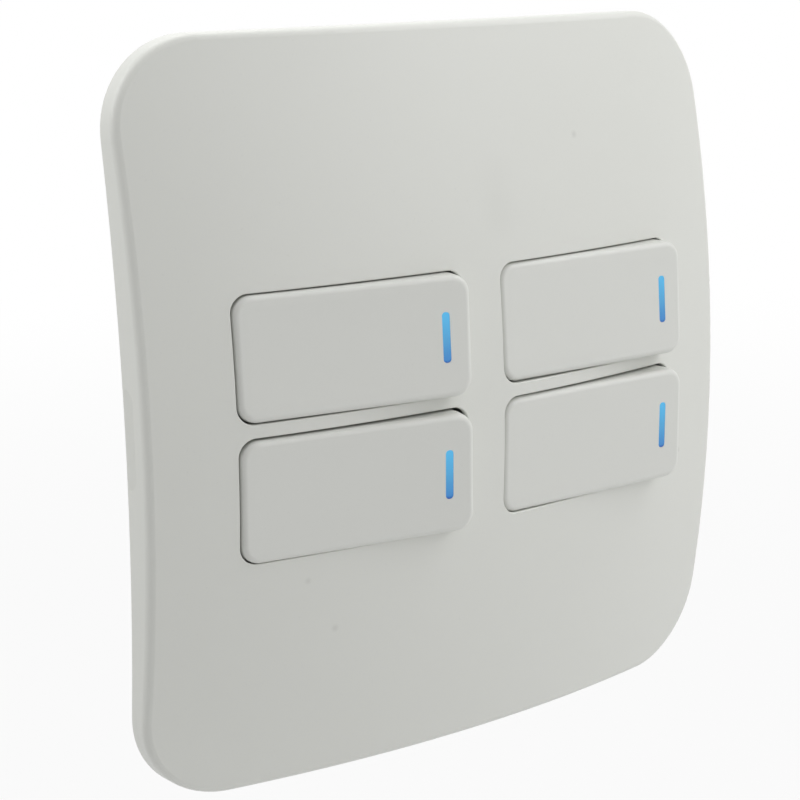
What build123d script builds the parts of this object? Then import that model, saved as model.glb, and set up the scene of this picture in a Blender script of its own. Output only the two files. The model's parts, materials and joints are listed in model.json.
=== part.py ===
from build123d import *
import math
import os

# Four-gang light switch: a domed square cover, a support frame and four rocker modules.
# X runs right, Z up and Y into the wall. The wall face is Y = 0, and the origin is the
# middle of the four box screws. Lengths are in millimetres and angles in degrees.

# Cover plate
plate_width = 118.0
plate_height = 118.0
plate_corner_radius = 14.9
face_depth = 16.3  # from the wall to the middle of the domed face
dome_rise = 7.42  # from the middle of a side to the middle of the face
rim_arch = 4.5  # lift of the rim's back edge at the middle of a side
face_wall = 2.4
rim_wall = 2.6
rim_edge_radius = 1.4
opening_width = 41.0
opening_height = 19.7
opening_corner_radius = 2.9
opening_edge_radius = 0.2
lip_thickness = 0.8  # of the face at the ends of an opening
lip_relief = 0.9  # behind that lip
column_spacing = 48.6
row_spacing = 21.8
notch_length = 15.4  # pry notch in the middle of the left side
notch_reach = 2.6  # from the rim's back edge to the notch's ledge
notch_recess = 0.35  # at the ledge
notch_land = 0.3  # of the wall left whole at the back edge
notch_corner_radius = 2.0

# Snap tabs that hold the cover on the frame
tab_width = 8.0
tab_thickness = 1.6
tab_spacing_x = 66.0
tab_inset = 6.0  # from the frame's edge
tab_foot_gap = 0.3  # from the wall to the end of a tab
hook_reach = 0.9
hook_height = 0.7
catch_thickness = 1.0  # of the frame's lip over a hook
tab_gap = 0.2

# Support frame
frame_inset = 7.0  # from the cover's edge
frame_corner_radius = 12.0
frame_thickness = 2.2
frame_rib_height = 2.4
frame_rib_width = 1.6
frame_cover_gap = 0.8
box_screw_spacing_x = 46.0
box_screw_spacing_z = 83.3
box_screw_hole_radius = 2.2
box_screw_boss_radius = 4.4
box_screw_boss_height = 1.0
window_gap = 0.3  # round a module's body
seat_reach = 0.8  # of a seat past the end of a housing
seat_height = 16.0

# Keys, in a module's own frame: X along the key, Z up, Y into the wall from the rocking axis
module_yaw = 4.9  # each column leans with the dome
lower_row_drop = 0.15  # of the lower modules below the middle of their openings
key_pitch = 2.4  # each row's key face leans with the dome
rest_tilt = 5.0  # of a rocker to either side of level
key_stand = 0.9  # of a level key's face above the dome
face_ahead = 4.5  # from the rocking axis to the key's face
key_end_gap = 0.28  # from the round ends to the lips
key_side_gap = 0.22
key_corner_radius = 3.0
key_edge_radius = 1.0
key_wall = 1.5
key_top_wall = 1.8
skirt_behind = 2.8
key_rib_depth = 1.4
key_rib_width = 1.0
key_rib_spacing = 18.0
pin_radius = 0.8
pin_gap = 0.05
pin_end_gap = 0.1

# Light bar
bar_width = 1.3
bar_height = 7.9
bar_corner_radius = 0.55
bar_from_end = 4.4  # from the key's right end to the middle of the bar
bar_gap = 0.05
bar_flange = 0.6
bar_flange_depth = 0.8

# Plunger and spring
tube_wall = 0.9
tube_behind = 9.5
plunger_radius = 1.95
plunger_gap = 0.1
plunger_head_front = 5.2
plunger_head_back = 10.2
plunger_stem_radius = 1.2
plunger_tip = 14.0
spring_wire_radius = 0.25
spring_side_gap = 0.15
spring_end_gap = 0.05
spring_turns = 5
spring_wire_sides = 6

# Housing
swing_gap = 0.4  # past the key's ends
key_wall_gap = 0.25  # beside the key's long sides
tub_end_wall = 1.2
tub_side_wall = 0.85
tub_corner_radius = 1.5
tub_front = 3.3
ledge = 5.8
shoulder = 6.8
ear_radius = 1.6
ear_thickness = 1.2
ear_gap = 0.25  # from an ear to the inside of the key
ear_root = 4.0  # of an ear's foot down the chamber's wall
body_length = 39.2
body_height = 19.2
body_corner_radius = 1.2
body_edge_radius = 0.6
body_wall = 1.2
chamber_floor = 19.0
housing_back = 21.0
barb_reach = 0.6
barb_height = 2.0
barb_width = 6.0
barb_gap = 0.15
port_size = 3.4
port_lead_in = 0.5
driver_window = 3.9

# Contact blade
blade_end_gap = 1.5  # from the blade to the clamps
blade_width = 5.0
blade_thickness = 0.8
blade_tilt = 7.0  # to either side of level
blade_gap = 0.15  # from a level blade to the plunger's tip
blade_notch_width = 1.8
blade_neck_width = 3.2
contact_from_end = 1.3
contact_radius = 1.2
moving_contact_height = 0.5
contact_gap = 0.15  # left between closed contacts
stop_gap = 0.2

# Terminals
strip_thickness = 0.8
strip_width = 3.4
strip_bend_radius = 0.5
fulcrum_gap = 0.1
fulcrum_width = 6.4
horn_height = 1.2
horn_gap = 0.15
clamp_end_gap = 0.3  # from a clamp to the end of the chamber
clamp_length = 5.8
clamp_height = 10.4
clamp_depth = 6.0
clamp_edge_radius = 0.4
wire_window = 3.0
stop_width = 0.8
stop_length = 1.6
screw_radius = 1.3
screw_gap = 0.05
screw_head_radius = 1.85
screw_head_height = 1.4
screw_slot_width = 0.5
screw_slot_depth = 0.7
screw_end_gap = 0.6  # from the screw's head to the driver window
screw_length = 4.6  # under the head

# Lamp board
board_thickness = 1.0
board_width = 5.6
board_length = 35.6
board_side_gap = 0.2
board_ear_gap = 0.4
board_tab_length = 5.0
board_tab_reach = 12.5
board_leg_width = 1.0
board_leg_thickness = 0.6
lamp_length = 2.0
lamp_height = 5.0
lamp_front = 0.5
lamp_corner_radius = 0.4
resistor_radius = 0.9
resistor_length = 6.0

# Worked-out sizes
dome_radius = ((plate_width / 2) ** 2 + dome_rise**2) / (2 * dome_rise)
arch_radius = ((plate_width / 2) ** 2 + rim_arch**2) / (2 * rim_arch)
corner_inset = plate_corner_radius * (1 - math.sqrt(0.5))
corner_reach = math.hypot(plate_width / 2 - corner_inset, plate_height / 2 - corner_inset)
arch_depth = arch_radius - math.sqrt(arch_radius**2 - corner_reach**2)
key_height = opening_height - 2 * key_side_gap
key_ceiling = -face_ahead + key_height / 2 * math.tan(math.radians(key_pitch)) + key_top_wall
tub_inner_height = key_height + 2 * key_wall_gap
tub_height = tub_inner_height + 2 * tub_side_wall
frame_width = plate_width - 2 * frame_inset
frame_height = plate_height - 2 * frame_inset
tab_spacing_z = frame_height - 2 * tab_inset
chamber_length = body_length - 2 * body_wall
chamber_height = body_height - 2 * body_wall
ear_outer = key_height / 2 - key_wall - ear_gap
ear_inner = ear_outer - ear_thickness
clamp_from_axis = chamber_length / 2 - clamp_end_gap - clamp_length / 2
blade_length = 2 * (clamp_from_axis - clamp_length / 2 - blade_end_gap)
contact_from_axis = blade_length / 2 - contact_from_end
blade_axis = plunger_tip + blade_gap + blade_thickness
contact_drop = contact_from_axis * math.sin(math.radians(blade_tilt))
fixed_contact_top = blade_axis + contact_drop + moving_contact_height + contact_gap
strip_front = chamber_floor - strip_thickness
clamp_front = chamber_floor - clamp_depth
clamp_middle = chamber_floor - clamp_depth / 2
screw_head_top = chamber_height / 2 - screw_end_gap


def dome_depth(x, z):
    """Distance from the wall to the domed face."""
    return face_depth - dome_radius + math.sqrt(dome_radius**2 - x**2 - z**2)


opening_x = column_spacing / 2
opening_z = row_spacing / 2
module_z = {1: opening_z, -1: -opening_z - lower_row_drop}
inner_lip_x = opening_x - opening_width / 2
outer_lip_x = opening_x + opening_width / 2
pivot_depth = (
    dome_depth(opening_x, opening_z) + key_stand - face_ahead * math.cos(math.radians(module_yaw))
)
inner_lip_rise = dome_depth(inner_lip_x, opening_z) - lip_thickness - pivot_depth
outer_lip_rise = dome_depth(outer_lip_x, opening_z) - lip_thickness - pivot_depth
# The rocking axis lies equally far from both lips.
pivot_x = opening_x + (outer_lip_rise**2 - inner_lip_rise**2) / (2 * opening_width)
key_radius = math.hypot(pivot_x - inner_lip_x, inner_lip_rise) - key_end_gap
bar_x = math.sqrt(key_radius**2 - face_ahead**2) - bar_from_end
tub_inner_length = 2 * (key_radius + swing_gap)
tub_length = tub_inner_length + 2 * tub_end_wall


def slab(width, height, radius, front, back, x=0.0, z=0.0):
    """Rounded rectangle, as seen from the front, from y = front to y = back."""
    outline = Pos(x, z) * RectangleRounded(width, height, radius)
    return extrude(Plane.XZ.offset(-back) * outline, amount=back - front)


def rod(radius, front, back, x=0.0, z=0.0):
    """Round bar along Y."""
    return extrude(Plane.XZ.offset(-back) * Pos(x, z) * Circle(radius), amount=back - front)


def brick(low, high):
    """Box between two corners."""
    size = Vector(*high) - Vector(*low)
    return Pos(*low) * Box(*size, align=(Align.MIN, Align.MIN, Align.MIN))


def ball(radius, depth):
    """Large ball whose front stands at this depth from the wall."""
    return Pos(0, radius - depth, 0) * Sphere(radius)


def module_place(column, row):
    """Place of a module's own frame, with its origin on the rocking axis."""
    return Pos(column * pivot_x, -pivot_depth, module_z[row]) * Rot(0, 0, column * module_yaw)


def wall_behind(column, x):
    """Where the wall face lies behind a module, in the module's frame."""
    yaw = math.radians(column * module_yaw)
    return (pivot_depth - x * math.sin(yaw)) / math.cos(yaw)


gangs = {
    "upper_left": (-1, 1),
    "upper_right": (1, 1),
    "lower_left": (-1, -1),
    "lower_right": (1, -1),
}
tab_places = [(sx * tab_spacing_x / 2, sz) for sx in (-1, 1) for sz in (-1, 1)]


def make_cover_plate():
    front = -face_depth - rim_edge_radius
    block = slab(plate_width, plate_height, plate_corner_radius, front, 0)
    plate = block & ball(dome_radius, face_depth)
    domed_face = plate.faces().filter_by(GeomType.SPHERE)
    plate = fillet(domed_face.edges(), rim_edge_radius)
    for column, row in gangs.values():
        plate -= make_opening(column, row, opening_width)
    domed_face = plate.faces().filter_by(GeomType.SPHERE)
    plate = fillet(domed_face[0].inner_wires().edges(), opening_edge_radius)
    behind_lips = ball(dome_radius - lip_thickness, face_depth - lip_thickness)
    for column, row in gangs.values():
        plate -= make_opening(column, row, opening_width + 2 * lip_relief) & behind_lips
    inner_radius = plate_corner_radius - rim_wall
    hollow = slab(plate_width - 2 * rim_wall, plate_height - 2 * rim_wall, inner_radius, front, 0)
    hollow &= ball(dome_radius - face_wall, face_depth - face_wall)
    plate -= hollow
    plate -= ball(arch_radius, arch_depth)
    for x, side in tab_places:
        plate += make_snap_tab(x, side) & hollow
    return plate - make_pry_notch()


def make_opening(column, row, width):
    """Cutter for one opening, through the whole face."""
    x, z = column * opening_x, row * opening_z
    return slab(width, opening_height, opening_corner_radius, -2 * face_depth, 0, x, z)


def make_snap_tab(x, side):
    """Tab from the inside of the face down through the frame, with a hook at its end."""
    inner = side * tab_spacing_z / 2
    outer = inner + side * tab_thickness
    hook_top = -frame_thickness + catch_thickness + tab_gap
    profile = Polyline(
        (-face_depth, inner),
        (-tab_foot_gap, inner),
        (-tab_foot_gap, outer),
        (hook_top + hook_height - tab_gap, outer + side * hook_reach),
        (hook_top, outer + side * hook_reach),
        (hook_top, outer),
        (-face_depth, outer),
        close=True,
    )
    return extrude(Plane.YZ.offset(x) * make_face(profile), amount=tab_width / 2, both=True)


def make_pry_notch():
    """Nick in the middle of the left side, which deepens from the back edge to a ledge."""
    side = -plate_width / 2
    rim_back = arch_depth - arch_radius + math.sqrt(arch_radius**2 - side**2)
    nick_start = -rim_back - notch_land
    nick_end = -rim_back - notch_reach
    slope = Polyline(
        (side, nick_start),
        (side, nick_end),
        (side + notch_recess, nick_end),
        close=True,
    )
    outline = RectangleRounded(2 * notch_reach, notch_length, notch_corner_radius)
    outline = Plane.YZ.offset(side) * Pos(-rim_back, 0) * outline
    wedge = extrude(make_face(slope), amount=notch_length / 2, both=True)
    return wedge & extrude(outline, amount=notch_recess)


def make_support_frame():
    outline = slab(frame_width, frame_height, frame_corner_radius, -face_depth, 0)
    plate = slab(frame_width, frame_height, frame_corner_radius, -frame_thickness, 0)
    rib_top = -frame_thickness - frame_rib_height
    inner_width = frame_width - 2 * frame_rib_width
    inner_height = frame_height - 2 * frame_rib_width
    rib = slab(frame_width, frame_height, frame_corner_radius, rib_top, 0)
    rib -= slab(inner_width, inner_height, frame_corner_radius - frame_rib_width, rib_top, 0)
    inside_cover = face_wall + frame_cover_gap
    rib &= ball(dome_radius - inside_cover, face_depth - inside_cover)
    frame = plate + rib
    for column, row in gangs.values():
        for end in (-1, 1):
            frame += (module_place(column, row) * make_seat(end)) & outline
    for column, row in gangs.values():
        window = brick(
            (-body_length / 2 - window_gap, shoulder, -body_height / 2 - window_gap),
            (body_length / 2 + window_gap, 2 * housing_back, body_height / 2 + window_gap),
        )
        frame -= module_place(column, row) * window
    for x, side in tab_places:
        frame -= make_catch_slot(x, side)
    for sx in (-1, 1):
        for sz in (-1, 1):
            x, z = sx * box_screw_spacing_x / 2, sz * box_screw_spacing_z / 2
            frame += rod(box_screw_boss_radius, -frame_thickness - box_screw_boss_height, 0, x, z)
            frame -= rod(box_screw_hole_radius, -face_depth, 0, x, z)
    return frame


def make_seat(end):
    """Seat under one end of a housing, square to the module."""
    near = body_length / 2 + window_gap
    far = tub_length / 2 + seat_reach
    low_x, high_x = sorted((end * near, end * far))
    return brick((low_x, shoulder, -seat_height / 2), (high_x, 2 * housing_back, seat_height / 2))


def make_catch_slot(x, side):
    """Slot for a snap tab, cut back behind its lip for the hook."""
    inner = side * (tab_spacing_z / 2 - tab_gap)
    lip = side * (tab_spacing_z / 2 + tab_thickness + tab_gap)
    back = lip + side * (hook_reach + tab_gap)
    catch_back = -frame_thickness + catch_thickness
    half_width = tab_width / 2 + tab_gap
    profile = Polyline(
        (-face_depth, inner),
        (0, inner),
        (0, back),
        (catch_back, back),
        (catch_back, lip),
        (-face_depth, lip),
        close=True,
    )
    return extrude(Plane.YZ.offset(x) * make_face(profile), amount=half_width, both=True)


def below_key_face(solid, row):
    """Trim a solid at the key's leaning face."""
    lean = math.radians(key_pitch)
    face = Plane(origin=(0, -face_ahead, 0), z_dir=(0, -math.cos(lean), row * math.sin(lean)))
    return split(solid, bisect_by=face, keep=Keep.BOTTOM)


def key_block(front, inset):
    """Block with ends that are round about the rocking axis, set in from the key's outside."""
    middle = (front + skirt_behind) / 2
    round_ends = Circle(key_radius - inset)
    outline = round_ends & Pos(0, middle) * Rectangle(3 * key_radius, skirt_behind - front)
    block = extrude(outline, amount=key_height / 2 - inset, both=True)
    upright_edges = block.edges().filter_by(GeomType.CIRCLE)
    return fillet(upright_edges, key_corner_radius - inset)


def make_rocker(row):
    front = -2 * face_ahead
    cap = below_key_face(key_block(front, 0), row)
    face = cap.faces().sort_by(Axis.Y)[0]
    cap = fillet(face.edges(), key_edge_radius)
    cap -= key_block(key_ceiling, key_wall)
    for side in (-1, 1):
        x = side * key_rib_spacing / 2
        cap += brick(
            (x - key_rib_width / 2, key_ceiling, -key_height / 2 + key_wall),
            (x + key_rib_width / 2, key_ceiling + key_rib_depth, key_height / 2 - key_wall),
        )
    bore = plunger_radius + plunger_gap
    cap += rod(bore + tube_wall, key_ceiling, tube_behind)
    cap -= rod(bore, key_ceiling, tube_behind)
    pin_root = key_height / 2 - key_wall / 2
    pin_tip = ear_inner + pin_end_gap
    for side in (-1, 1):
        middle = side * (pin_root + pin_tip) / 2
        cap += Pos(0, 0, middle) * Cylinder(pin_radius, pin_root - pin_tip)
    slot_width = bar_width + 2 * bar_gap
    slot_height = bar_height + 2 * bar_gap
    slot_radius = bar_corner_radius + bar_gap
    return cap - slab(slot_width, slot_height, slot_radius, front, key_ceiling, bar_x)


def make_light_bar(row):
    bar = slab(bar_width, bar_height, bar_corner_radius, -2 * face_ahead, key_ceiling, bar_x)
    flange_width = bar_width + 2 * bar_flange
    flange_height = bar_height + 2 * bar_flange
    flange_radius = bar_corner_radius + bar_flange
    flange_back = key_ceiling + bar_flange_depth
    flange = slab(flange_width, flange_height, flange_radius, key_ceiling, flange_back, bar_x)
    return below_key_face(bar, row) + flange


def make_plunger():
    """Head that slides in the tube, stem and round tip."""
    tip_middle = plunger_tip - plunger_stem_radius
    plunger = rod(plunger_radius, plunger_head_front, plunger_head_back)
    plunger += rod(plunger_stem_radius, plunger_head_back, tip_middle)
    return plunger + Pos(0, tip_middle, 0) * Sphere(plunger_stem_radius)


def make_plunger_spring():
    coil_radius = plunger_radius - spring_side_gap - spring_wire_radius
    first = key_ceiling + spring_wire_radius + spring_end_gap
    last = plunger_head_front - spring_wire_radius - spring_end_gap
    height = last - first
    coil = Helix(pitch=height / spring_turns, height=height, radius=coil_radius)
    wire = RegularPolygon(spring_wire_radius, spring_wire_sides)
    section = Plane(origin=coil @ 0, z_dir=coil % 0) * wire
    return Pos(0, first, 0) * Rot(-90, 0, 0) * sweep(section, path=coil)


def make_housing(column):
    tub = slab(tub_length, tub_height, tub_corner_radius, tub_front, shoulder)
    body = slab(body_length, body_height, body_corner_radius, shoulder, housing_back)
    body = fillet(body.faces().sort_by(Axis.Y)[-1].edges(), body_edge_radius)
    housing = tub + body
    housing -= slab(tub_inner_length, tub_inner_height, tub_corner_radius, tub_front, ledge)
    housing -= slab(chamber_length, chamber_height, body_corner_radius, ledge, chamber_floor)
    for end in (-1, 1):
        x = end * clamp_from_axis
        housing -= brick(
            (x - port_size / 2, chamber_floor, -port_size / 2),
            (x + port_size / 2, housing_back, port_size / 2),
        )
        housing -= brick(
            (x - driver_window / 2, clamp_middle - driver_window / 2, 0),
            (x + driver_window / 2, clamp_middle + driver_window / 2, body_height),
        )
        housing += make_barb(column, end)
    back_face = housing.faces().sort_by(Axis.Y)[-1]
    housing = chamfer(back_face.inner_wires().edges(), port_lead_in)
    for side in (-1, 1):
        housing += make_ear(side)
        housing += make_blade_stop(side)
    return housing


def make_ear(side):
    """Ear inside the key, bored for a pin, on a foot against the chamber's wall."""
    foot_back = ledge + ear_root
    outline = Circle(ear_radius) + Pos(0, foot_back / 2) * Rectangle(2 * ear_radius, foot_back)
    ear = extrude(Plane.XY.offset(side * ear_inner) * outline, amount=side * ear_thickness)
    ear -= Cylinder(pin_radius + pin_gap, 3 * ear_outer)
    low_z, high_z = sorted((side * ear_inner, side * (chamber_height / 2 + body_wall / 2)))
    return ear + brick((-ear_radius, ledge, low_z), (ear_radius, foot_back, high_z))


def make_barb(column, end):
    """Wedge on the body's end that snaps behind the frame."""
    x = end * body_length / 2
    top = wall_behind(column, x) + barb_gap
    profile = Polyline(
        (x, top),
        (x + end * barb_reach, top),
        (x, top + barb_height),
        close=True,
    )
    return extrude(make_face(profile), amount=barb_width / 2, both=True)


def make_blade_stop(side):
    """Post under the blade's right end, beside the common strip."""
    top = blade_axis + contact_drop + stop_gap
    near = side * (strip_width / 2 + stop_gap)
    low_z, high_z = sorted((near, near + side * stop_width))
    x = contact_from_axis
    return brick((x - stop_length / 2, top, low_z), (x + stop_length / 2, chamber_floor, high_z))


def make_contact_blade():
    """See-saw blade about its underside, with the moving contact under its left end."""
    neck_cut = blade_width / 2 - blade_neck_width / 2
    outline = RectangleRounded(blade_length, blade_width, blade_width / 3)
    for side in (-1, 1):
        middle = side * (blade_width / 2 - neck_cut / 2)
        outline -= Pos(0, middle) * Rectangle(blade_notch_width, neck_cut)
    blade = extrude(Plane.XZ * outline, amount=blade_thickness)
    return blade + rod(contact_radius, -blade_thickness / 2, moving_contact_height, -contact_from_axis)


def make_clamp(end):
    """Brass block with a wire window from the back and a screw hole from above."""
    x = end * clamp_from_axis
    clamp = slab(clamp_length, clamp_height, clamp_edge_radius, clamp_front, chamber_floor, x)
    clamp -= brick(
        (x - wire_window / 2, clamp_front + strip_thickness, -wire_window / 2),
        (x + wire_window / 2, chamber_floor, wire_window / 2),
    )
    hole = Pos(x, clamp_middle, clamp_height / 2) * Cylinder(screw_radius + screw_gap, clamp_height)
    return clamp - hole


def make_common_terminal():
    """Clamp, strip along the floor and upright fulcrum with two horns beside the blade's neck."""
    knife = blade_axis + fulcrum_gap
    reach = clamp_from_axis - clamp_length / 2
    half = strip_thickness / 2
    bent = Polyline(
        (reach, chamber_floor),
        (-half, chamber_floor),
        (-half, knife),
        (half, knife),
        (half, strip_front),
        (reach, strip_front),
        close=True,
    )
    strip = extrude(make_face(bent), amount=strip_width / 2, both=True)
    strip += brick((-half, knife, -fulcrum_width / 2), (half, chamber_floor, fulcrum_width / 2))
    horn_inner = blade_neck_width / 2 + horn_gap
    for side in (-1, 1):
        low_z, high_z = sorted((side * horn_inner, side * fulcrum_width / 2))
        strip += brick((-half, knife - horn_height, low_z), (half, knife, high_z))
    return strip + make_clamp(1)


def make_load_terminal():
    """Clamp, strip along the floor and fixed contact under the blade's left end."""
    reach = -clamp_from_axis + clamp_length / 2
    end = -contact_from_axis + contact_radius + strip_bend_radius
    strip = brick((reach, strip_front, -strip_width / 2), (end, chamber_floor, strip_width / 2))
    strip += rod(contact_radius, fixed_contact_top, chamber_floor, -contact_from_axis)
    return strip + make_clamp(-1)


def make_terminal_screws():
    """Two slotted pinching screws, as a group."""
    below = (Align.CENTER, Align.CENTER, Align.MAX)
    head = Cylinder(screw_head_radius, screw_head_height, align=below)
    head -= Box(2 * screw_head_radius, screw_slot_width, screw_slot_depth, align=below)
    shank = Cylinder(screw_radius, screw_length, align=below)
    screw = Pos(0, 0, screw_head_top) * (head + Pos(0, 0, -screw_head_height) * shank)
    return [Pos(end * clamp_from_axis, clamp_middle, 0) * screw for end in (-1, 1)]


def make_lamp_board():
    """L-shaped board on the housing's ledge, with lamp, resistor and a leg to each clamp."""
    front = ledge - board_thickness
    low = -tub_inner_height / 2 + board_side_gap
    high = low + board_width
    tab_left = bar_x - board_tab_length / 2
    tab_right = bar_x + board_tab_length / 2
    board = brick((tab_right - board_length, front, low), (tab_right, ledge, high))
    board += brick((tab_left, front, low), (tab_right, ledge, low + board_tab_reach))
    ear_side = ear_radius + board_ear_gap
    board -= brick((-ear_side, front, low), (ear_side, ledge, board_ear_gap - ear_inner))
    board += slab(lamp_length, lamp_height, lamp_corner_radius, lamp_front, front, bar_x)
    resistor_z = (low + high) / 2
    resistor = Pos(-key_rib_spacing / 2, front - resistor_radius / 2, resistor_z) * Rot(0, 90, 0)
    board += resistor * Cylinder(resistor_radius, resistor_length)
    for end in (-1, 1):
        x = end * clamp_from_axis
        board += brick(
            (x - board_leg_width / 2, ledge, high - board_leg_thickness),
            (x + board_leg_width / 2, clamp_front, high),
        )
    return board


os.makedirs("parts", exist_ok=True)
export_step(make_cover_plate(), "parts/cover_plate.step")
export_step(make_support_frame(), "parts/support_frame.step")
rockers = {row: make_rocker(row) for row in (-1, 1)}
light_bars = {row: make_light_bar(row) for row in (-1, 1)}
housings = {column: make_housing(column) for column in (-1, 1)}
plunger = make_plunger()
plunger_spring = make_plunger_spring()
contact_blade = Pos(0, blade_axis, 0) * Rot(0, 0, blade_tilt) * make_contact_blade()
for gang, (column, row) in gangs.items():
    fixed = module_place(column, row)
    rocked = fixed * Rot(0, 0, -rest_tilt)
    pieces = {
        "housing": fixed * housings[column],
        "common_terminal": fixed * make_common_terminal(),
        "load_terminal": fixed * make_load_terminal(),
        "terminal_screws": Compound(children=[fixed * screw for screw in make_terminal_screws()]),
        "lamp_board": fixed * make_lamp_board(),
        "contact_blade": fixed * contact_blade,
        "rocker": rocked * rockers[row],
        "light_bar": rocked * light_bars[row],
        "plunger": rocked * plunger,
        "plunger_spring": rocked * plunger_spring,
    }
    for name, piece in pieces.items():
        export_step(piece, f"parts/{gang}_{name}.step")
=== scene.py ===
import bpy
import json
import math
from mathutils import Matrix, Vector


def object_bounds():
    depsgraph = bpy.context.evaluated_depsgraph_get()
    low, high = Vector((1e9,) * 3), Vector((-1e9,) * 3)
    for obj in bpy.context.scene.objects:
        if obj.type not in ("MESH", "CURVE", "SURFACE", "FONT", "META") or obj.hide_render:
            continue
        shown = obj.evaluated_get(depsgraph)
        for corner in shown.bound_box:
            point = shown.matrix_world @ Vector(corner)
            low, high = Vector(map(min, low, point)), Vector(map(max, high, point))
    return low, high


# Four-gang light switch in a white studio. Lengths are in metres and lie in the frame of the
# solids: X runs right, Z up and Y into the wall. Colours are linear red, green, blue and alpha.

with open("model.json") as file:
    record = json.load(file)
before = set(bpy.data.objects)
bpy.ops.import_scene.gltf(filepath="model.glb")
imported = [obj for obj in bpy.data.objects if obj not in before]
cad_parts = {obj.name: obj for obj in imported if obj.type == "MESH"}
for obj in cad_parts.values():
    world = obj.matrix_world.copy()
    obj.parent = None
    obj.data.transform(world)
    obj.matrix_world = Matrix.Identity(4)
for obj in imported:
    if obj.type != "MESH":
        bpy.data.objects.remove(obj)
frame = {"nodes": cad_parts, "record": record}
solid_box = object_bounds()

# Camera
image_width = 800
sensor_width = 36.0
focal_pixels = 2124.0
nearest_seen = 0.01
camera_yaw = math.radians(-37.405)
camera_pitch = math.radians(11.745)
camera_roll = math.radians(-1.519)
camera_distance = 0.3536
camera_slide = (-0.003223, -0.003273)  # to the right and up in the picture
camera_aim = Vector((0.0, 0.00118, 0.0))

# Studio
floor_drop = 0.06  # below the plate
floor_size = 60.0
floor_pale = (0.72, 0.72, 0.72, 1.0)
floor_glow = 0.82  # share of plain white that the camera sees on the floor by the switch
floor_fade = 0.9  # from the switch to where the camera sees all white
room_light = (0.33, 0.33, 0.33, 1.0)
backdrop_white = (1.0, 1.0, 1.0, 1.0)
lamps = {  # azimuth from the front and elevation in degrees, distance, size and watts
    "window_front": (30, 20, 0.9, 0.6, 2.2),
    "window_right": (60, 45, 0.9, 0.6, 3.1),
    "reflector_left": (-115, 40, 0.4, 0.25, 0.74),
    "ceiling_behind": (150, 65, 0.9, 0.6, 2.4),
}

# Moulded plastic
cloud_size = 0.03
cloud_roughness = 0.10  # how far roughness goes up and down with the clouds
fleck_size = 0.0005
fleck_span = (0.62, 0.80)  # of the noise, from no fleck to a full one
fleck_share = 0.18  # of the dark colour in a full fleck
fleck_darkness = 0.8  # of a fleck's colour against the shade's
fleck_roughness = 0.08
peel_size = 0.0012
satin = 0.45  # specular level of the cover and the keys

# Cover's dome, for the marks on it
plate_width = 0.118
dome_rise = 0.00742
face_depth = 0.0163
dome_radius = ((plate_width / 2) ** 2 + dome_rise**2) / (2 * dome_rise)
mark_grey = (0.45, 0.45, 0.42, 1.0)
cover_marks = [  # place across and up, radius and strength of each faint mark
    (0.0234, 0.0398, 0.0009, 0.35),
    (-0.0335, -0.0249, 0.0008, 0.30),
    (-0.0284, -0.0337, 0.0009, 0.30),
    (0.0486, -0.0178, 0.0007, 0.30),
    (0.0046, 0.0340, 0.0060, 0.05),
    (0.0049, 0.0285, 0.0055, 0.07),
]

# Drawn metal
line_size = 0.0006
line_depth = 4e-6
line_roughness = 0.22
patch_size = 0.004
patch_span = (0.35, 0.75)  # of the noise, from bright to dull metal
patch_roughness = 0.15

# Lamp boards
track_scale = 160.0
track_wander = 6.0
track_span = (0.55, 0.65)  # of the wave, from bare board to a track
track_share = 0.5
track_depth = 1.5e-5
lacquer_cloud_size = 0.006
lacquer_roughness = 0.12
lacquer_coat = 0.3

# Light bars
bar_height = 0.0079
row_pitch = 0.02195
lower_row = 0.01105  # from the middle of the plate down to the middle of the lower bars
bar_foot = lower_row + bar_height / 2
bar_cloud_size = 0.0015
bar_cloud_shift = 0.08  # of the run of colour by the clouds
bar_roughness = 0.10
bar_glow = 1.0
bar_run_with_foot_shade = [  # colours of the glow from the foot of a bar to its head; the dark first stop is painted shade where the bar's foot sits back in its slot
    # painted shade: the darkest stops at the foot stand in for the shade of the slot edge
    (0.00, (0.012, 0.055, 0.280, 1.0)),
    (0.06, (0.046, 0.200, 0.470, 1.0)),
    (0.45, (0.072, 0.310, 0.550, 1.0)),
    (1.00, (0.086, 0.435, 0.710, 1.0)),
]


class Value:
    """A socket in a web of nodes; arithmetic on it adds Math nodes."""

    def __init__(self, web, socket):
        self.web = web
        self.socket = socket

    def maths(self, operation, first, second):
        return self.web.node("ShaderNodeMath", {"operation": operation}, {0: first, 1: second})

    def __add__(self, other):
        return self.maths("ADD", self, other)

    def __radd__(self, other):
        return self.maths("ADD", other, self)

    def __sub__(self, other):
        return self.maths("SUBTRACT", self, other)

    def __rsub__(self, other):
        return self.maths("SUBTRACT", other, self)

    def __mul__(self, other):
        return self.maths("MULTIPLY", self, other)

    def __rmul__(self, other):
        return self.maths("MULTIPLY", other, self)

    def __truediv__(self, other):
        return self.maths("DIVIDE", self, other)

    def __mod__(self, other):
        return self.maths("MODULO", self, other)

    def __or__(self, other):
        return self.maths("MAXIMUM", self, other)


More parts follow.
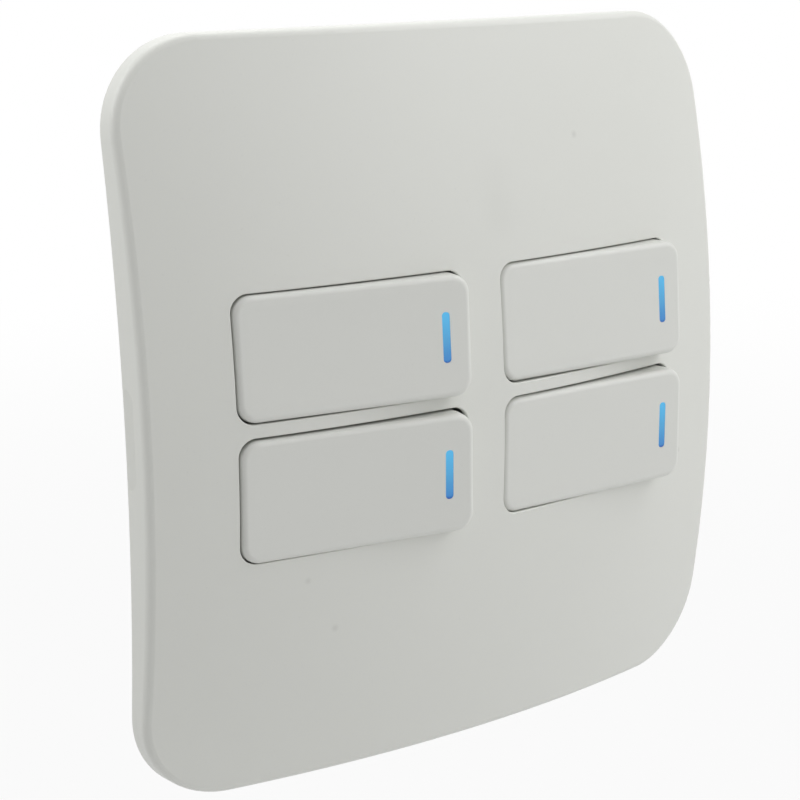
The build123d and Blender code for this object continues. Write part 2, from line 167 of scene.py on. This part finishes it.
class Web:
    """A tree of shader nodes, with one way to add any node."""

    def __init__(self, tree):
        self.tree = tree
        tree.nodes.clear()

    def node(self, kind, settings=None, sockets=None, output=0):
        """Adds a node: its settings first, then the values or links of its sockets."""
        made = self.tree.nodes.new(kind)
        for name, setting in (settings or {}).items():
            if name == "stops":
                self.set_stops(made.color_ramp, setting)
            else:
                setattr(made, name, setting)
        for name, given in (sockets or {}).items():
            if isinstance(given, Value):
                self.tree.links.new(given.socket, made.inputs[name])
            else:
                made.inputs[name].default_value = given
        if made.outputs:
            return Value(self, made.outputs[output])

    @staticmethod
    def set_stops(ramp, stops):
        while len(ramp.elements) < len(stops):
            ramp.elements.new(0.5)
        for element, (position, colour) in zip(ramp.elements, stops):
            element.position = position
            element.color = colour

    def place(self):
        """The point on the piece, which stays with it as it moves."""
        return self.node("ShaderNodeTexCoord", output="Object")

    def noise(self, place, size, detail, seed):
        sockets = {"Vector": place, "W": seed, "Scale": 1 / size, "Detail": detail}
        return self.node("ShaderNodeTexNoise", {"noise_dimensions": "4D"}, sockets)

    def rise(self, value, low, high):
        """Climbs smoothly from 0 at low to 1 at high."""
        sockets = {"Value": value, "From Min": low, "From Max": high}
        return self.node("ShaderNodeMapRange", {"interpolation_type": "SMOOTHSTEP"}, sockets)

    def tint(self, share, first, second):
        """Goes from the first colour to the second as the share grows."""
        sockets = {0: share, 6: first, 7: second}
        return self.node("ShaderNodeMix", {"data_type": "RGBA"}, sockets, output=2)

    def bump(self, height, depth):
        sockets = {"Height": height, "Distance": depth, "Strength": 1.0}
        return self.node("ShaderNodeBump", None, sockets)

    def distance(self, place, point):
        sockets = {0: place, 1: point}
        return self.node("ShaderNodeVectorMath", {"operation": "DISTANCE"}, sockets, output="Value")

    def shown(self):
        """1 for the rays that show the backdrop itself, and 0 for those that carry its light."""
        rays = ("Is Camera Ray", "Is Glossy Ray", "Is Transmission Ray")
        camera, glossy, through = [self.node("ShaderNodeLightPath", output=ray) for ray in rays]
        return camera | glossy | through


def moulded(web, colour, shade, roughness, seed, peel_depth=3e-6):
    """Moulded plastic: soft clouds in the colour, fine flecks and a slight orange peel."""
    place = web.place()
    cloud = web.noise(place, cloud_size, 3, seed)
    fleck = web.noise(place, fleck_size, 2, seed + 10)
    peel = web.noise(place, peel_size, 2, seed + 20)
    fleck_colour = tuple(fleck_darkness * part for part in shade[:3]) + (1.0,)
    tone = web.tint(cloud, shade, colour)
    tone = web.tint(fleck_share * web.rise(fleck, *fleck_span), tone, fleck_colour)
    uneven = cloud_roughness * (cloud - 0.5) + fleck_roughness * (fleck - 0.5)
    return {
        "Base Color": tone,
        "Roughness": roughness + uneven,
        "Normal": web.bump(peel, peel_depth),
    }


def dome_point(x, z):
    """Point of the cover's face at this place."""
    return (x, dome_radius - face_depth - math.sqrt(dome_radius**2 - x**2 - z**2), z)


def cover_plastic(web):
    """Pale satin plastic with a few specks and smudges on the face."""
    sockets = moulded(
        web,
        colour=(0.722, 0.730, 0.692, 1.0),
        shade=(0.702, 0.710, 0.672, 1.0),
        roughness=0.42,
        seed=1,
    )
    place = web.place()
    tone = sockets["Base Color"]
    for x, z, radius, strength in cover_marks:
        spot = 1 - web.rise(web.distance(place, dome_point(x, z)), 0.0, radius)
        tone = web.tint(strength * spot, tone, mark_grey)
    return {**sockets, "Base Color": tone, "Specular IOR Level": satin}


def key_plastic(web):
    """Pale satin plastic, a little smoother than the cover's."""
    sockets = moulded(
        web,
        colour=(0.716, 0.724, 0.690, 1.0),
        shade=(0.698, 0.706, 0.672, 1.0),
        roughness=0.40,
        seed=2,
    )
    return {**sockets, "Specular IOR Level": satin}


def frame_plastic(web):
    """Dull grey plastic with a coarse peel."""
    return moulded(
        web,
        colour=(0.60, 0.60, 0.575, 1.0),
        shade=(0.56, 0.56, 0.535, 1.0),
        roughness=0.58,
        seed=3,
        peel_depth=9e-6,
    )


def housing_plastic(web):
    """Warm grey plastic with a coarse peel."""
    return moulded(
        web,
        colour=(0.64, 0.63, 0.585, 1.0),
        shade=(0.60, 0.59, 0.545, 1.0),
        roughness=0.52,
        seed=4,
        peel_depth=7e-6,
    )


def plunger_plastic(web):
    """Smooth white plastic that slides."""
    return moulded(
        web,
        colour=(0.78, 0.78, 0.76, 1.0),
        shade=(0.74, 0.74, 0.72, 1.0),
        roughness=0.36,
        seed=5,
        peel_depth=2e-6,
    )


def drawn_metal(web, bright, dull, roughness, seed, along):
    """Metal with fine lines along the way it was drawn or stamped, and dull patches."""
    place = web.place()
    drawn = web.node("ShaderNodeMapping", None, {"Vector": place, "Scale": along})
    line = web.noise(drawn, line_size, 4, seed)
    patch = web.noise(place, patch_size, 3, seed + 10)
    uneven = line_roughness * (line - 0.5) + patch_roughness * (patch - 0.5)
    return {
        "Base Color": web.tint(web.rise(patch, *patch_span), bright, dull),
        "Metallic": 1.0,
        "Roughness": roughness + uneven,
        "Normal": web.bump(line, line_depth),
    }


def terminal_brass(web):
    """Yellow brass of the clamps and strips."""
    return drawn_metal(
        web,
        bright=(0.76, 0.56, 0.25, 1.0),
        dull=(0.55, 0.38, 0.17, 1.0),
        roughness=0.30,
        seed=6,
        along=(0.1, 1.0, 1.0),
    )


def blade_brass(web):
    """Redder brass of the contact blades."""
    return drawn_metal(
        web,
        bright=(0.78, 0.50, 0.28, 1.0),
        dull=(0.58, 0.34, 0.19, 1.0),
        roughness=0.26,
        seed=7,
        along=(0.1, 1.0, 1.0),
    )


def screw_steel(web):
    """Plated steel of the terminal screws."""
    return drawn_metal(
        web,
        bright=(0.66, 0.66, 0.64, 1.0),
        dull=(0.48, 0.48, 0.47, 1.0),
        roughness=0.34,
        seed=8,
        along=(1.0, 1.0, 0.2),
    )


def spring_steel(web):
    """Dark wire of the plunger springs."""
    return drawn_metal(
        web,
        bright=(0.58, 0.58, 0.59, 1.0),
        dull=(0.40, 0.40, 0.41, 1.0),
        roughness=0.28,
        seed=9,
        along=(1.0, 0.2, 1.0),
    )


def board_green(web):
    """Lacquered circuit board with paler tracks under the green."""
    place = web.place()
    cloud = web.noise(place, lacquer_cloud_size, 3, 11)
    settings = {"wave_type": "BANDS", "bands_direction": "Z"}
    sockets = {"Vector": place, "Scale": track_scale, "Distortion": track_wander}
    wave = web.node("ShaderNodeTexWave", settings, sockets)
    track = web.rise(wave, *track_span)
    base = web.tint(cloud, (0.030, 0.150, 0.060, 1.0), (0.045, 0.210, 0.090, 1.0))
    return {
        "Base Color": web.tint(track_share * track, base, (0.10, 0.36, 0.16, 1.0)),
        "Roughness": 0.32 + lacquer_roughness * (cloud - 0.5),
        "Normal": web.bump(track, track_depth),
        "Coat Weight": lacquer_coat,
    }


def light_bar(web):
    """Clear tinted window, lit from behind: sky blue at its head and deeper blue at its foot, with
    painted shade in a dark band at the very foot.
    """
    place = web.place()
    height = web.node("ShaderNodeSeparateXYZ", None, {"Vector": place}, output="Z")
    up = ((height + bar_foot) % row_pitch) / bar_height
    cloud = web.noise(place, bar_cloud_size, 2, 12)
    along = up + bar_cloud_shift * (cloud - 0.5)
    return {
        "Base Color": web.tint(cloud, (0.006, 0.030, 0.080, 1.0), (0.009, 0.038, 0.100, 1.0)),
        "Roughness": 0.30 + bar_roughness * (cloud - 0.5),
        "Specular IOR Level": 0.3,
        # the glow's colour run ends in painted shade at the bar's recessed foot
        "Emission Color": web.node("ShaderNodeValToRGB", {"stops": bar_run_with_foot_shade}, {"Fac": along}),
        "Emission Strength": bar_glow,
    }


def make_finish(recipe):
    """Material whose principled shader takes the sockets that a recipe gives."""
    material = bpy.data.materials.new(recipe.__name__)
    material.use_nodes = True
    web = Web(material.node_tree)
    shader = web.node("ShaderNodeBsdfPrincipled", None, recipe(web))
    web.node("ShaderNodeOutputMaterial", None, {"Surface": shader})
    return material


def dress_pieces():
    """Gives every piece the finish of its material slot."""
    recipes = [
        cover_plastic, key_plastic, light_bar, frame_plastic, housing_plastic, terminal_brass,
        blade_brass, screw_steel, spring_steel, plunger_plastic, board_green,
    ]
    finishes = {recipe.__name__: make_finish(recipe) for recipe in recipes}
    for piece in frame["record"]["subparts"]:
        for holder in frame["nodes"][piece["node"]].material_slots:
            holder.material = finishes[piece["material_slot"]]


def make_floor():
    """Pale floor that the camera sees nearly white, with the switch's soft shadow by it."""
    half = floor_size / 2
    height = solid_box[0][2] - floor_drop
    sides = ((-half, -half), (half, -half), (half, half), (-half, half))
    mesh = bpy.data.meshes.new("floor")
    mesh.from_pydata([(x, y, height) for x, y in sides], [], [(0, 1, 2, 3)])
    floor = bpy.data.objects.new("floor", mesh)
    bpy.context.scene.collection.objects.link(floor)
    material = bpy.data.materials.new("floor_pale")
    material.use_nodes = True
    web = Web(material.node_tree)
    paint = web.node("ShaderNodeBsdfDiffuse", None, {"Color": floor_pale})
    glow = web.node("ShaderNodeEmission", None, {"Color": backdrop_white, "Strength": 1.0})
    away = web.rise(web.distance(web.place(), (0.0, 0.0, height)), 0.0, floor_fade)
    share = web.shown() * (floor_glow + (1 - floor_glow) * away)
    surface = web.node("ShaderNodeMixShader", None, {0: share, 1: paint, 2: glow})
    web.node("ShaderNodeOutputMaterial", None, {"Surface": surface})
    mesh.materials.append(material)


def make_room():
    """Even light from all round, behind a plain white backdrop."""
    world = bpy.data.worlds.new("studio")
    bpy.context.scene.world = world
    world.use_nodes = True
    web = Web(world.node_tree)
    light = web.node("ShaderNodeBackground", None, {"Color": room_light, "Strength": 1.0})
    white = web.node("ShaderNodeBackground", None, {"Color": backdrop_white, "Strength": 1.0})
    surface = web.node("ShaderNodeMixShader", None, {0: web.shown(), 1: light, 2: white})
    web.node("ShaderNodeOutputWorld", None, {"Surface": surface})


def make_lamp(name, azimuth, elevation, distance, size, watts):
    """Square soft lamp that faces the switch."""
    lamp = bpy.data.lights.new(name, "AREA")
    lamp.shape = "SQUARE"
    lamp.size = size
    lamp.energy = watts
    across = math.radians(azimuth)
    up = math.radians(elevation)
    level = math.cos(up)
    towards = Vector((math.sin(across) * level, -math.cos(across) * level, math.sin(up)))
    holder = bpy.data.objects.new(name, lamp)
    holder.location = distance * towards
    holder.rotation_euler = towards.to_track_quat("Z", "Y").to_euler()
    holder.visible_camera = False
    bpy.context.scene.collection.objects.link(holder)


def make_camera():
    """Camera at the left of the switch and a little above it."""
    level = Vector((math.cos(camera_yaw), math.sin(camera_yaw), 0.0))
    back = Vector((
        math.sin(camera_yaw) * math.cos(camera_pitch),
        -math.cos(camera_yaw) * math.cos(camera_pitch),
        math.sin(camera_pitch),
    ))
    upright = back.cross(level)
    right = math.cos(camera_roll) * level + math.sin(camera_roll) * upright
    up = math.cos(camera_roll) * upright - math.sin(camera_roll) * level
    place = camera_aim + camera_distance * back + camera_slide[0] * right + camera_slide[1] * up
    lens = bpy.data.cameras.new("camera")
    lens.sensor_width = sensor_width
    lens.lens = sensor_width * focal_pixels / image_width
    lens.clip_start = nearest_seen
    holder = bpy.data.objects.new("camera", lens)
    turn = Matrix((right, up, back)).transposed().to_4x4()
    holder.matrix_world = Matrix.Translation(place) @ turn
    bpy.context.scene.collection.objects.link(holder)
    bpy.context.scene.camera = holder


dress_pieces()
make_floor()
make_room()
for name, setting in lamps.items():
    make_lamp(name, *setting)
make_camera()
bpy.context.scene.view_settings.view_transform = "Standard"
